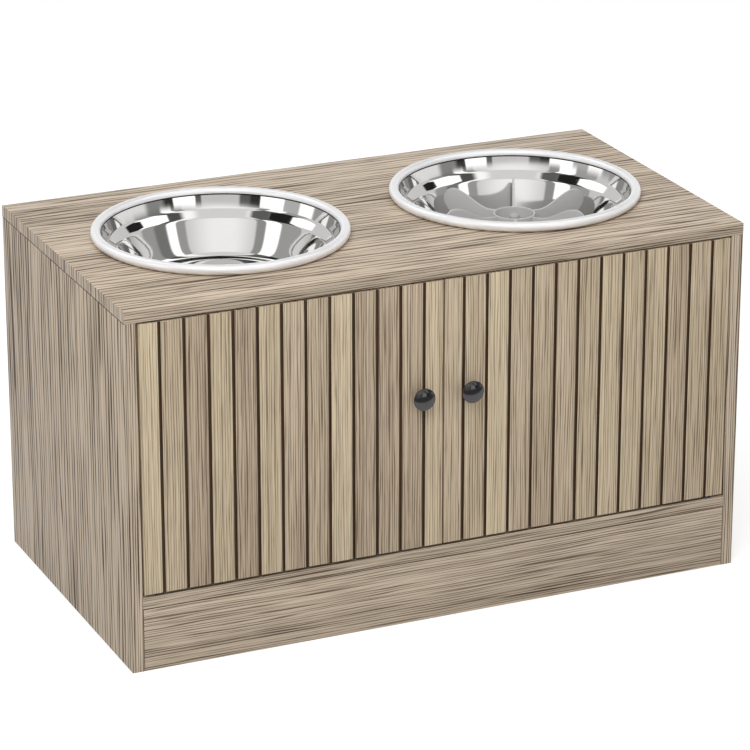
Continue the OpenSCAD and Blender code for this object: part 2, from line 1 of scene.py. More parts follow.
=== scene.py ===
"""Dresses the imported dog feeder: oak boards, grooved doors, polished bowls, insert, fittings and studio."""

import math

import bmesh
import bpy
from mathutils import Matrix, Vector


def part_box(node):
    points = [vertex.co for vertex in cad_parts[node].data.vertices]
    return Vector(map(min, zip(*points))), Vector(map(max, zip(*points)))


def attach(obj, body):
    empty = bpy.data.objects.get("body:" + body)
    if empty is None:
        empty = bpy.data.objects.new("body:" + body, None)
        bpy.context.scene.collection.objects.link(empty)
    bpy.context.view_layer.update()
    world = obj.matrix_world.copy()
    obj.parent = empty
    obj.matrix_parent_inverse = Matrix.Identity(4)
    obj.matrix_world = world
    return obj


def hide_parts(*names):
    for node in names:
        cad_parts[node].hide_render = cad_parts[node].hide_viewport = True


bl_info = {
    "name": "Dog Feeder",
    "version": (1, 0, 0),
    "blender": (4, 5, 0),
    "location": "3D View > Sidebar > Feeder",
    "description": "Makes the boards, doors, bowls, insert, fittings and studio of a raised dog feeder",
    "category": "Object",
}

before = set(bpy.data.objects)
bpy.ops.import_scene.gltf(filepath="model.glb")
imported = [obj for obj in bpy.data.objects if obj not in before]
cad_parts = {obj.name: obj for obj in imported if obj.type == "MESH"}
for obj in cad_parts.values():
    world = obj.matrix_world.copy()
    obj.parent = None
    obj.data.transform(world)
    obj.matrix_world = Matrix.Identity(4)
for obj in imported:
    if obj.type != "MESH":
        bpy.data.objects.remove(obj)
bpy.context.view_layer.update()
BOWL_LOW, BOWL_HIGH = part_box("left_bowl")
RIM_R = (BOWL_HIGH.x - BOWL_LOW.x) / 2
SIDES = ("left", "right")
MM = 0.001
WELD = 1e-6  # points closer than this are one


def middle(node):
    """The middle of a CAD node's box."""
    low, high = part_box(node)
    return (low + high) / 2


def extent(node):
    """The size of a CAD node's box."""
    low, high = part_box(node)
    return high - low


def linear(red, green, blue):
    """Turns a colour as a screen shows it, 0 to 255, into the linear one that shaders take."""
    return tuple(((value / 255 + 0.055) / 1.055) ** 2.4 for value in (red, green, blue))


# Sizes and colours that a user may change


def number(name, description, default, **more):
    return bpy.props.FloatProperty(name=name, description=description, default=default, **more)


def length(name, description, millimetres):
    return number(name, description, millimetres * MM, min=0.0, unit="LENGTH", precision=5)


def share(name, description, default):
    return number(name, description, default, min=0.0, max=10.0)


def angle(name, description, degrees):
    return number(name, description, math.radians(degrees), subtype="ANGLE")


def colour(name, description, *screen):
    return bpy.props.FloatVectorProperty(
        name=name, description=description, default=linear(*screen), size=3, min=0.0, max=1.0,
        subtype="COLOR",
    )


def count(name, description, default, least):
    return bpy.props.IntProperty(name=name, description=description, default=default, min=least)


class FeederWood(bpy.types.PropertyGroup):
    board_light: colour("Board Light", "Light tone of the boards", 207, 190, 169)
    board_dark: colour("Board Dark", "Dark tone of the boards", 84, 69, 54)
    door_light: colour("Door Light", "Light tone of the doors", 223, 207, 181)
    door_dark: colour("Door Dark", "Dark tone of the doors", 110, 93, 75)
    groove_light: colour("Groove Light", "Light tone inside the grooves", 88, 68, 51)
    groove_dark: colour("Groove Dark", "Dark tone inside the grooves", 56, 42, 31)
    edge_round: length("Edge Rounding", "Rounding of the boards' edges", 0.45)
    top_pitch: length("Top Pitch", "Distance between grain lines on the top panel", 7)
    side_pitch: length("Side Pitch", "Distance between grain lines on the side panels", 7)
    front_pitch: length("Front Pitch", "Distance between grain lines on the doors and plinth", 2.6)


class FeederDoors(bpy.types.PropertyGroup):
    grooves: count("Grooves", "Grooves in each door", 12, 2)
    groove_width: length("Groove Width", "Width of a groove", 3.2)
    groove_depth: length("Groove Depth", "Depth of a groove", 2)
    groove_edge: length("Edge Distance", "From a door's edge to its outermost groove", 20)
    edge_round: length("Edge Rounding", "Rounding of the doors' and grooves' edges", 0.2)


class FeederKnobs(bpy.types.PropertyGroup):
    tone: colour("Tone", "Dark nickel colour of the knobs", 80, 79, 80)
    foot_radius: length("Foot Radius", "Radius of the foot on the door", 4.5)
    stem_radius: length("Stem Radius", "Radius of the stem", 4)
    flare_radius: length("Flare Radius", "Radius where the stem meets the disc", 6.6)
    rim: length("Rim", "Height of the disc's rim", 1.6)
    dome: length("Dome", "Rise of the crown over the rim", 3.4)
    segments: count("Segments", "Facets round a knob", 72, 12)


class FeederBowls(bpy.types.PropertyGroup):
    steel: colour("Steel", "Colour of the stainless steel", 222, 221, 219)
    roll_radius: length("Roll Radius", "Radius of the rolled rim", 5)
    mouth_inset: length("Mouth Inset", "From the rim's outside to the mouth wall", 9.6)
    band_slope: length("Band Slope", "How far the upper band stands in from the mouth wall", 0.34)
    band_depth: length("Band Depth", "Depth at which the upper band begins", 1.9)
    crease_radius: length("Crease Radius", "Radius of the crease under the upper band", 112.6)
    crease_depth: length("Crease Depth", "Depth of that crease", 15)
    shoulder_radius: length("Shoulder Radius", "Radius of the shoulder's foot", 105.4)
    shoulder_depth: length("Shoulder Depth", "Depth of the shoulder's foot", 22.6)
    floor_radius: length("Floor Radius", "Radius of the flat floor", 85.5)
    depth: length("Depth", "Depth of the floor below the roll's middle", 58.3)
    sheet: length("Sheet", "Thickness of the steel", 1)
    segments: count("Segments", "Facets round a bowl", 160, 24)


class FeederInsert(bpy.types.PropertyGroup):
    tone: colour("Tone", "Grey of the moulded plastic", 194, 193, 192)
    hub_diameter: length("Hub Diameter", "Outside of the hub", 42.5)
    hub_height: length("Hub Height", "Height of the hub", 33)
    hub_wall: length("Hub Wall", "Wall of the hub", 1.8)
    floor_under: length("Floor Underside", "Height of the underside of the hub's floor", 8)
    floor_over: length("Floor Top", "Height of the top of the hub's floor", 10)
    bore_radius: length("Bore Radius", "Radius of the hole in the hub's floor", 3.1)
    fins: count("Fins", "Fins round the hub", 6, 3)
    fin_thickness: length("Fin Thickness", "Thickness of a fin", 2)
    fin_reach: length("Fin Reach", "From the hub's axis to a fin's end", 82)
    fin_rise: length("Fin Rise", "Height of a fin above the hub", 14.5)
    fin_end: length("Fin End Radius", "Radius of a fin's round end", 12)
    foot_inset: length("Foot Inset", "From the bowl floor's edge to a fin's foot", 20.5)
    first_fin: angle("First Fin", "Direction of the first fin", 5)
    neck_radius: length("Neck Radius", "Radius of the suction cup's neck", 3)
    lip_radius: length("Lip Radius", "Radius of the suction cup's lip", 17)
    head_radius: length("Head Radius", "Radius of the suction cup's post", 5.4)
    post_height: length("Post Height", "Height of the post above the hub's floor", 22.5)


class FeederFittings(bpy.types.PropertyGroup):
    head_diameter: length("Head Diameter", "Width of the catch and strike screws' heads", 5.6)
    head_height: length("Head Height", "Height of those heads", 1.6)
    shank_diameter: length("Shank Diameter", "Width of those screws' shanks", 3)
    shank_length: length("Shank Length", "Length of those shanks", 7.5)


class FeederStudio(bpy.types.PropertyGroup):
    ambient: share("Ambient", "Light from all round", 0.56)
    key: share("Key", "Power of the large lamp, front left above", 4.6)
    overhead: share("Overhead", "Power of the lamp above", 2.2)
    fill: share("Fill", "Power of the lamp at the front", 0.8)
    floor_lift: share("Floor Lift", "Whiteness added to the floor", 0.6)
    turn: angle("Camera Turn", "Compass direction of the camera", -23.976)
    tilt: angle("Camera Tilt", "How far the camera looks down", 20.586)
    camera_place: bpy.props.FloatVectorProperty(
        name="Camera Place", description="Where the camera stands",
        default=(-1.4029, -3.1584, 1.4950), size=3, subtype="TRANSLATION",
    )
    lens: number("Lens", "Focal length for a 36 mm sensor", 176.039, unit="CAMERA")


# The studio as polished steel mirrors it, in tiers from low to high: the height in degrees at which a
# tier starts, its plain grey, and its cards, each a compass angle from the camera, half width and
# softness in degrees, and grey level
STUDIO_TIERS = (
    (-90, 0.95, (
        (3, 19, 2, 0.7), (25, 3, 1.5, 0.12), (67, 9, 8, 0.3), (53, 4, 6, 0.03), (38.5, 10.5, 1.5, 1.6),
        (-27, 9, 3, 0.12), (-33, 4, 3, 0.03), (-50.5, 12, 1.5, 1.6), (-72.5, 8.5, 2, 0.55),
        (-90, 8, 2, 1.4), (-112, 10, 4, 0.4),
    )),
    (21.7, 0.75, (
        (0, 8, 44, 1.15), (48, 4, 3, 0.4), (-44, 4, 3, 0.35), (60, 5.5, 1.5, 1.6),
        (75, 8, 4, 0.22), (89, 6, 5, 0.4), (-59, 8, 2, 1.6), (-82, 12, 2, 0.42),
    )),
    (45, 1.3, (
        (0, 36, 16, 0.85), (73, 6, 9, 0.1), (94.5, 13, 2, 1.6), (122, 12, 2, 0.02), (-60, 9, 8, 0.14),
        (-84, 11.5, 3, 0.02), (-116, 19, 2, 1.6), (180, 38, 8, 0.03),
    )),
)
TIER_BOW = 0.073  # how much the tiers' borders sink to the sides, for each square radian
TIER_REACH = math.radians(110)  # where they stop sinking
TIER_BLUR = 0.012  # half the height in radians over which two tiers merge
HORIZON = (-0.66, -0.62)  # places along Y between which mirrors see the floor turn grey
HORIZON_GREY = 0.3
FLOOR_REACH = 9.0
WATTS = 10  # of a lamp, for each unit of its power


# Node helpers


def step_of(operation, swapped=False):
    """A method that adds one step of arithmetic."""
    def method(self, other):
        return calc(operation, *((other, self) if swapped else (self, other)))
    return method


class Signal:
    """A node's output. Arithmetic on it adds Math nodes to its tree."""

    def __init__(self, tree, socket):
        self.tree, self.socket = tree, socket

    __add__, __mul__ = step_of("ADD"), step_of("MULTIPLY")
    __sub__, __rsub__ = step_of("SUBTRACT"), step_of("SUBTRACT", swapped=True)
    __truediv__, __rtruediv__ = step_of("DIVIDE"), step_of("DIVIDE", swapped=True)
    __gt__, __lt__ = step_of("GREATER_THAN"), step_of("LESS_THAN")


def add(tree, kind, inputs=None, **settings):
    """Adds a node, sets its properties, and fills or links its inputs."""
    node = tree.nodes.new(kind)
    for key, value in settings.items():
        setattr(node, key, value)
    for key, value in (inputs or {}).items():
        if isinstance(value, Signal):
            tree.links.new(value.socket, node.inputs[key])
        else:
            node.inputs[key].default_value = value
    return node


def source(tree, kind, key=0, inputs=None, **settings):
    """Adds a node and returns one of its outputs."""
    return Signal(tree, add(tree, kind, inputs, **settings).outputs[key])


def signals(tree, kind, inputs=None, **settings):
    """Adds a node and returns its outputs by name."""
    node = add(tree, kind, inputs, **settings)
    return {socket.name: Signal(tree, socket) for socket in node.outputs}


def out(kind, inputs, key=0, **settings):
    """Adds a node to the tree that its first linked input is in, and returns one of its outputs."""
    tree = next(value.tree for value in inputs.values() if isinstance(value, Signal))
    return source(tree, kind, key, inputs, **settings)


def send(sockets, values):
    """Links signals to the sockets of these names."""
    for key, value in values.items():
        value.tree.links.new(value.socket, sockets[key])


def calc(operation, *values, clamp=False):
    """One step of arithmetic on signals or numbers."""
    return out("ShaderNodeMath", dict(enumerate(values)), operation=operation, use_clamp=clamp)


def ramp(value, low, high, to_low=0.0, to_high=1.0, kind="SMOOTHSTEP"):
    """Maps a value from one range to another, held at the ends."""
    inputs = {"Value": value, "From Min": low, "From Max": high, "To Min": to_low, "To Max": to_high}
    return out("ShaderNodeMapRange", inputs, "Result", interpolation_type=kind)


def blend(factor, first, second, mode="MIX"):
    """Mixes two colours."""
    return out("ShaderNodeMix", {0: factor, 6: first, 7: second}, 2, data_type="RGBA", blend_type=mode)


def mixed_shader(factor, first, second):
    return out("ShaderNodeMixShader", {0: factor, 1: first, 2: second})


def noise(place, detail=2.0, roughness=0.5):
    """Noise from 0 to 1 at a place that is already scaled."""
    inputs = {"Vector": place, "Scale": 1.0, "Detail": detail, "Roughness": roughness}
    return out("ShaderNodeTexNoise", inputs, "Fac", normalize=True)


def vector(x, y, z=0.0):
    return out("ShaderNodeCombineXYZ", {0: x, 1: y, 2: z})


def split(place):
    """The three parts of a vector."""
    return list(signals(place.tree, "ShaderNodeSeparateXYZ", {0: place}).values())


def vector_step(operation, first, second):
    """One step of arithmetic on vectors. SCALE takes a number second."""
    key = "Scale" if operation == "SCALE" else 1
    return out("ShaderNodeVectorMath", {0: first, key: second}, operation=operation)


def shaded(tone, level):
    """A colour made darker or lighter by a level."""
    return blend(1.0, tone, vector(level, level, level), "MULTIPLY")


def bare_tree(owner):
    """A material's or a world's node tree, emptied."""
    owner.use_nodes = True
    owner.node_tree.nodes.clear()
    return owner.node_tree


def coordinates(tree, kind):
    """Places on a surface: object coordinates, or the UV map of that name."""
    if kind == "object":
        return source(tree, "ShaderNodeTexCoord", "Object")
    return source(tree, "ShaderNodeUVMap", uv_map=kind)


# Shader groups, each made by a function that turns its inputs into its outputs


def oak_grain(given):
    """Oak foil: fine lines, fibres, streaks and pores along the first coordinate, toned by the stave."""
    along, across, _ = split(given["Vector"])

    def scaled(u_scale, v_scale, line):
        return vector(along * u_scale, line * v_scale)

    sway = (noise(scaled(2.1, 9.0, across), 1.5) - 0.5) * given["Figure"]
    waver = (noise(scaled(16.0, 60.0, across), 1.0) - 0.5) * 0.0012
    line = across + (sway + waver + given["Stave Number"] * 0.37)
    per_pitch, per_length = 1.0 / given["Line Pitch"], 1.0 / given["Line Length"]

    def stretched(length_share, pitch_share):
        return scaled(per_length * length_share, per_pitch * pitch_share, line)

    fibres = noise(stretched(2.3, 2.6), 2.0, 0.6)
    wander = noise(stretched(1.0, 0.7), 1.0) * 1.9
    wave = (line * per_pitch + wander) * (2 * math.pi)
    presence = ramp(noise(stretched(1.5, 1.6), 1.0), 0.3, 0.55, 0.25)
    lines = ramp(calc("SINE", wave), -1.0, 0.2, 1.0 - presence)
    streaks = ramp(noise(stretched(0.4, 0.4), 2.0, 0.55), 0.3, 0.7)
    bands = ramp(noise(scaled(1.1, 14.0, line), 1.0), 0.3, 0.7)
    pores = ramp(noise(stretched(4.0, 6.0), 1.0), 0.6, 0.7)
    stave = out("ShaderNodeTexWhiteNoise", {"W": given["Stave Number"]}, "Value", noise_dimensions="1D")

    shade = (fibres - 0.5) * 0.9 + 0.52
    layers = ((lines, given["Lines"]), (streaks, given["Streaks"]), (bands, 0.18), (stave, given["Staves"]))
    for layer, amount in layers:
        shade = (layer - 0.5) * amount + shade
    shade = calc("MULTIPLY_ADD", pores, -0.3, shade, clamp=True)
    wood = blend(shade, given["Dark"], given["Light"])
    cast = blend(stave, (1.0, 0.955, 0.955, 1.0), (1.0, 0.985, 0.885, 1.0))
    wood = blend(calc("MULTIPLY", given["Staves"], 2.5, clamp=True), wood, cast, "MULTIPLY")
    return {"Color": wood, "Roughness": shade * -0.12 + 0.5, "Height": pores * -0.5 + shade}


def fine_brushing(given):
    """Fine polishing lines along the first coordinate, for metals."""
    scale = vector(given["Along"], given["Across"], given["Across"])
    lines = noise(vector_step("MULTIPLY", given["Vector"], scale), 3.0, 0.6)
    both = noise(vector_step("SCALE", given["Vector"], 26.0)) * 0.5 + lines * 0.5
    change = (both - 0.5) * given["Variation"]
    roughness = calc("ADD", given["Roughness"], change, clamp=True)
    tinted = shaded(given["Color"], both * 0.12 + 0.94)
    return {"Color": tinted, "Roughness": roughness, "Height": lines}


def moulded_grain(given):
    """Fine moulded grain with a faint cloudiness, for plastics, rubber and pressed fibre."""
    cloud = noise(vector_step("SCALE", given["Vector"], 22.0), 3.0) - 0.5
    grain = noise(vector_step("SCALE", given["Vector"], given["Grain"]))
    shade = (grain - 0.5) * (given["Cloud"] * 0.7) + (cloud * given["Cloud"] + 1.0)
    roughness = grain * 0.1 + (given["Roughness"] - 0.05)
    return {"Color": shaded(given["Color"], shade), "Roughness": roughness, "Height": grain}


def studio_card(given):
    """Mask of a soft-edged upright card of the studio, by compass direction."""
    off = calc("ABSOLUTE", calc("WRAP", given["Compass"] - given["Middle"], math.pi, -math.pi))
    outer = given["Half Width"] + given["Softness"]
    return {"Mask": ramp(off, given["Half Width"], outer, 1.0, 0.0)}


# Each group's function, and its inputs with their defaults. One without a default is a vector.
GROUPS = {
    "Oak grain": (oak_grain, {
        "Vector": None, "Light": (0.6, 0.5, 0.4, 1), "Dark": (0.3, 0.25, 0.2, 1), "Line Pitch": 0.0026,
        "Line Length": 0.1, "Figure": 0.012, "Lines": 0.5, "Streaks": 0.6, "Staves": 0.0,
        "Stave Number": 0.0,
    }),
    "Fine brushing": (fine_brushing, {
        "Vector": None, "Color": (0.5, 0.5, 0.5, 1), "Roughness": 0.2, "Variation": 0.1, "Along": 20.0,
        "Across": 2500.0,
    }),
    "Moulded grain": (moulded_grain, {
        "Vector": None, "Color": (0.5, 0.5, 0.5, 1), "Cloud": 0.06, "Grain": 1800.0, "Roughness": 0.45,
    }),
    "Studio card": (studio_card, {
        "Compass": 0.0, "Middle": 0.0, "Half Width": 0.2, "Softness": 0.1,
    }),
}


def make_group(name):
    """Builds a shader node group with named inputs and outputs."""
    build, inputs = GROUPS[name]
    tree = bpy.data.node_groups.new(name, "ShaderNodeTree")
    for label, default in inputs.items():
        kind = "Vector" if default is None else "Float" if isinstance(default, float) else "Color"
        socket = tree.interface.new_socket(label, in_out="INPUT", socket_type="NodeSocket" + kind)
        if default is not None:
            socket.default_value = default
    made = build(signals(tree, "NodeGroupInput"))
    for label in made:
        kind = "Color" if label == "Color" else "Float"
        tree.interface.new_socket(label, in_out="OUTPUT", socket_type="NodeSocket" + kind)
    send(add(tree, "NodeGroupOutput").inputs, made)
    return tree


def place_group(tree, name, inputs):
    """Places a shader group, built on first use, in a material; returns its outputs by name."""
    group = bpy.data.node_groups.get(name) or make_group(name)
    return signals(tree, "ShaderNodeGroup", inputs, node_tree=group)


# Materials


def setting(path):
    """The value of a setting, written as its group and its name."""
    group, key = path.split(".")
    return getattr(getattr(bpy.context.scene, "feeder_" + group), key)


def tone(value):
    """A colour with its alpha, from a setting or from a colour as a screen shows it."""
    return (*(setting(value) if isinstance(value, str) else linear(*value)), 1.0)


def stave_number(tree):
    """Counts the slats between the doors' grooves from the middle outwards, apart for each door."""
    doors = bpy.context.scene.feeder_doors
    x = split(coordinates(tree, "object"))[0]
    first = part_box("right_door")[0].x + doors.groove_edge
    pitch = (extent("right_door").x - 2 * doors.groove_edge) / (doors.grooves - 1)
    run = calc("FLOOR", (calc("ABSOLUTE", x) - first) / pitch)
    return calc("SIGN", x) * (2.0 * doors.grooves) + run


def patterned(name, group, kind, depth, strength, inputs, **constants):
    """A material with these shader constants, and colour, roughness and bump from a shader group."""
    made = bpy.data.materials.new(name)
    made.use_nodes = True
    tree = made.node_tree
    shader = tree.nodes["Principled BSDF"]
    for key, value in constants.items():
        shader.inputs[key.replace("_", " ")].default_value = value
    if inputs.get("Staves"):
        inputs["Stave Number"] = stave_number(tree)
    pattern = place_group(tree, group, {"Vector": coordinates(tree, kind), **inputs})
    bump = {"Height": pattern["Height"], "Distance": depth * MM, "Strength": strength}
    send(shader.inputs, {
        "Base Color": pattern["Color"], "Roughness": pattern["Roughness"],
        "Normal": out("ShaderNodeBump", bump),
    })
    return made


def oak(name, shade, pitch, length, figure, lines, streaks, staves=0.0, gloss=0.15):
    """Oak foil: shade, pitch, line length and figure in metres, weights of the layers, gloss."""
    shade = "wood." + shade
    return patterned(name, "Oak grain", "grain", 0.12, 0.35, {
        "Light": tone(shade + "_light"), "Dark": tone(shade + "_dark"),
        "Line Pitch": setting("wood." + pitch), "Line Length": length, "Figure": figure,
        "Lines": lines, "Streaks": streaks, "Staves": staves,
    }, Specular_IOR_Level=gloss)


def metal(name, steel, roughness, variation, kind, along, across, strength, metallic=1.0):
    """Brushed or polished metal, with polishing lines per metre along and across."""
    return patterned(name, "Fine brushing", kind, 0.02, strength, {
        "Color": tone(steel), "Roughness": roughness, "Variation": variation, "Along": along,
        "Across": across,
    }, Metallic=metallic)


def moulded(name, plastic, roughness, cloud, grain, strength):
    """Moulded plastic, rubber or pressed fibre, with grains per metre."""
    return patterned(name, "Moulded grain", "object", 0.05, strength, {
        "Color": tone(plastic), "Cloud": cloud, "Grain": grain, "Roughness": roughness,
    })


FINISHES = {
    "Oak top": (oak, "board", "top_pitch", 0.13, 0.012, 0.72, 0.3),
    "Oak side": (oak, "board", "side_pitch", 0.2, 0.012, 1.0, 0.45, 0.0, 0.05),
    "Oak plinth": (oak, "board", "front_pitch", 0.15, 0.012, 0.72, 0.36),
    "Oak door": (oak, "door", "front_pitch", 0.14, 0.006, 0.55, 0.15, 0.3),
    "Milled groove": (oak, "groove", "front_pitch", 0.09, 0.004, 0.4, 0.4),
    # Painted shade: darker oak on the rounded edges where boards meet, standing in for the shadow in the
    # seams
    "Oak seam painted shade": (oak, "groove", "front_pitch", 0.09, 0.004, 0.4, 0.4),
    "Zinc": (metal, (190, 191, 193), 0.38, 0.3, "object", 900.0, 900.0, 0.3),
    "Plated steel": (metal, (205, 205, 206), 0.24, 0.2, "object", 60.0, 1500.0, 0.15),
    "Polished steel": (metal, "bowls.steel", 0.05, 0.05, "turned", 30.0, 1500.0, 0.02),
    "Satin rim": (metal, (249, 249, 250), 0.36, 0.14, "turned", 14.0, 3500.0, 0.1, 0.4),
    # Painted shade: a dark band just under the rolled rim, standing in for the shadow in the crease
    "Rim crease painted shade": (metal, (74, 73, 72), 0.5, 0.1, "turned", 14.0, 3500.0, 0.1),
    "Dark nickel": (metal, "knobs.tone", 0.16, 0.1, "turned", 30.0, 3000.0, 0.06),
    "Hardboard": (moulded, (150, 130, 106), 0.6, 0.25, 900.0, 0.4),
    "Beech": (moulded, (206, 176, 135), 0.6, 0.2, 700.0, 0.4),
    "Insert plastic": (moulded, "insert.tone", 0.38, 0.06, 1600.0, 0.15),
    "Silicone": (moulded, (170, 170, 171), 0.45, 0.08, 900.0, 0.15),
    # Dark nylon, partly painted shade: darkened so the pivot bushes sink into the shade of the door gap
    "Nylon darkened to gap shade": (moulded, (52, 48, 44), 0.42, 0.05, 1500.0, 0.15),
    "Catch plastic": (moulded, (92, 72, 54), 0.5, 0.12, 1400.0, 0.3),
    "Ferrite": (moulded, (58, 58, 60), 0.55, 0.35, 1100.0, 0.4),
}


def finish(name):
    """The material of that name, made on first use."""
    maker, *values = FINISHES[name]
    return bpy.data.materials.get(name) or maker(name, *values)


# Mesh helpers


def piece(bm, name, body, node, finishes, slot):
    """Makes an object of a bmesh, shades it, gives it materials and hands it to the frame."""
    if bm.calc_volume(signed=True) < 0:
        bmesh.ops.reverse_faces(bm, faces=bm.faces)
    mesh = bpy.data.meshes.new(name)
    bm.to_mesh(mesh)
    bm.free()
    for label in finishes:
        mesh.materials.append(finish(label))
    settle(mesh, name, body, node, slot)


def put(name, data):
    """Puts an object with this data in the scene."""
    made = bpy.data.objects.new(name, data)
    bpy.context.scene.collection.objects.link(made)
    return made


def settle(mesh, name, body, node, slot, sharp_degrees=35.0):
    """Puts a mesh in the scene in a CAD node's place, as a piece that rides on a body."""
    for face in mesh.polygons:
        face.use_smooth = max(abs(part) for part in face.normal) < 0.9999
    mesh.set_sharp_from_angle(angle=math.radians(sharp_degrees))
    made = put(name, mesh)
    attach(made, body)
    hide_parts(node)


def refinish(node, label):
    """Gives a CAD node's own mesh its finish."""
    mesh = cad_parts[node].data
    mesh.materials.clear()
    mesh.materials.append(finish(label))


def frame_copy(node):
    """A merged copy of a CAD node's mesh, its flat faces joined up."""
    bm = bmesh.new()
    bm.from_mesh(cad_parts[node].data)
    bmesh.ops.remove_doubles(bm, verts=bm.verts, dist=WELD)
    bmesh.ops.dissolve_limit(bm, angle_limit=math.radians(0.5), verts=bm.verts, edges=bm.edges)
    return bm


def soften(bm, width, shortest=0.0, segments=3):
    """Rounds the outward corners that are longer than a given length."""
    corners = [
        edge for edge in bm.edges
        if len(edge.link_faces) == 2 and edge.is_convex
        and edge.calc_face_angle() > math.radians(50) and edge.calc_length() > shortest
    ]
    return bmesh.ops.bevel(
        bm, geom=corners, offset=width, segments=segments, profile=0.5, affect="EDGES", clamp_overlap=True
    )["faces"]


def touches(place, box, reach):
    """Whether a place lies within a distance of a box."""
    low, high = box
    return all(low[axis] - reach <= place[axis] <= high[axis] + reach for axis in range(3))


def lay_grain(bm, along, offset, finer=1.0):
    """Lays a UV map in metres on a board: U along the grain, and across the board on end faces.

    The grain of faces that look forwards or back is finer by a factor, as their foil is laid apart.
    """
    layer = bm.loops.layers.uv.new("grain")
    spans = []
    for axis in range(3):
        values = [vert.co[axis] for vert in bm.verts]
        spans.append(max(values) - min(values))
    for face in bm.faces:
        facing = max(range(3), key=lambda axis: abs(face.normal[axis]))
        others = [axis for axis in range(3) if axis != facing]
        u_axis = along if along in others else min(others, key=lambda axis: spans[axis])
        v_axis = others[0] if others[1] == u_axis else others[1]
        shift = offset + 0.41 * facing + (0.23 if face.normal[facing] > 0 else 0.0)
        scale = finer if facing == 1 else 1.0
        for loop in face.loops:
            place = loop.vert.co
            loop[layer].uv = (place[u_axis] + shift, scale * place[v_axis] + 1.7 * shift)


def turned(profile, segments, closed=False, marked=()):
    """Turns a profile of (radius, height) about Z. Faces after each marked run get its own material."""
    bm = bmesh.new()
    layer = bm.loops.layers.uv.new("turned")
    turns = [2 * math.pi * step / segments for step in range(segments)]
    rings = []
    for radius, height in profile:
        if radius < 1e-7:
            rings.append([bm.verts.new((0, 0, height))] * segments)
        else:
            around = [(radius * math.cos(t), radius * math.sin(t), height) for t in turns]
            rings.append([bm.verts.new(place) for place in around])
    widest = max(point[0] for point in profile)
    run = [0.0]
    for before, after in zip(profile, profile[1:] + profile[:1]):
        run.append(run[-1] + math.dist(before, after))
    rows = len(profile)
    for start in range(rows if closed else rows - 1):
        stop = (start + 1) % rows
        slot = next((slot for slot, points in enumerate(marked, 1) if start in points), 0)
        for step in range(segments):
            after = (step + 1) % segments
            kept = []
            for corner in (
                (rings[start][step], step, start), (rings[start][after], step + 1, start),
                (rings[stop][after], step + 1, start + 1), (rings[stop][step], step, start + 1),
            ):
                if all(corner[0] is not other[0] for other in kept):
                    kept.append(corner)
            face = bm.faces.new([corner[0] for corner in kept])
            face.material_index = slot
            for loop, (_, turn, at) in zip(face.loops, kept):
                loop[layer].uv = (2 * math.pi * widest * turn / segments, run[at])
    return bm


def arc(centre, radius, start, stop, steps):
    """Points on an arc, angles in degrees."""
    turns = [math.radians(start + (stop - start) * step / steps) for step in range(steps + 1)]
    return [(centre[0] + radius * math.cos(t), centre[1] + radius * math.sin(t)) for t in turns]


def eased(points, radii, steps=4):
    """A path whose inner corners are rounded, each by its own radius in millimetres."""
    made = [points[0]]
    for before, corner, after, radius in zip(points, points[1:], points[2:], radii):
        here = Vector(corner)
        back, on = Vector(before) - here, Vector(after) - here
        reach = min(radius * MM, 0.45 * back.length, 0.45 * on.length)
        start, stop = here + back.normalized() * reach, here + on.normalized() * reach
        for step in range(steps + 1):
            t = step / steps
            made.append(tuple((1 - t) ** 2 * start + 2 * t * (1 - t) * here + t * t * stop))
    return made + [points[-1]]


def beside(path, distance):
    """A path moved sideways by a distance, to its right."""
    made = []
    for index, point in enumerate(path):
        before, after = path[max(index - 1, 0)], path[min(index + 1, len(path) - 1)]
        along = (Vector(after) - Vector(before)).normalized()
        made.append((point[0] + along.y * distance, point[1] - along.x * distance))
    return made


def islands(bm):
    """The vertices of each connected part of a mesh."""
    seen = set()
    for first in bm.verts:
        if first in seen:
            continue
        seen.add(first)
        island = [first]
        for vert in island:
            near = {edge.other_vert(vert) for edge in vert.link_edges} - seen
            seen |= near
            island.extend(near)
        yield island


# Geometry Nodes


def geometry_tree(name, **kinds):
    """Starts a Geometry Nodes tree; returns it, its inputs, and its inputs' identifiers by name."""
    tree = bpy.data.node_groups.new(name, "GeometryNodeTree")
    tree.interface.new_socket("Geometry", in_out="OUTPUT", socket_type="NodeSocketGeometry")
    identifiers = {}
    for kind, labels in kinds.items():
        for label in labels:
            socket = tree.interface.new_socket(label, in_out="INPUT", socket_type="NodeSocket" + kind)
            identifiers[label] = socket.identifier
    return tree, signals(tree, "NodeGroupInput"), identifiers


def end_tree(geometry, *finishes):
    """Ends a tree in Realize Instances and Set Material. finishes are (material, selection or None)."""
    last = out("GeometryNodeRealizeInstances", {0: geometry})
    for material, selection in finishes:
        inputs = {"Geometry": last, "Material": material}
        if selection is not None:
            inputs["Selection"] = selection
        last = out("GeometryNodeSetMaterial", inputs)
    send(add(last.tree, "NodeGroupOutput").inputs, {0: last})


def grown(tree, identifiers, values, mesh=None):
    """Runs a tree on a mesh with these inputs and returns the result as a plain mesh."""
    carrier = put("carrier", mesh or bpy.data.meshes.new("carrier"))
    modifier = carrier.modifiers.new("tree", "NODES")
    modifier.node_group = tree
    for label, value in values.items():
        modifier[identifiers[label]] = value
    depsgraph = bpy.context.evaluated_depsgraph_get()
    result = bpy.data.meshes.new_from_object(carrier.evaluated_get(depsgraph), depsgraph=depsgraph)
    carrier.modifiers.remove(modifier)
    bpy.data.objects.remove(carrier)
    if not result.polygons:
        raise RuntimeError("the tree " + tree.name + " made no faces")
    if result.materials[0] is None:
        indices = [face.material_index - 1 for face in result.polygons]
        result.materials.pop(index=0)
        result.polygons.foreach_set("material_index", indices)
    return result


def moved(geometry, offset):
    return out("GeometryNodeTransform", {"Geometry": geometry, "Translation": offset})


def cut_away(body, cutter):
    return out("GeometryNodeMeshBoolean", {"Mesh 1": body, "Mesh 2": cutter}, operation="DIFFERENCE")


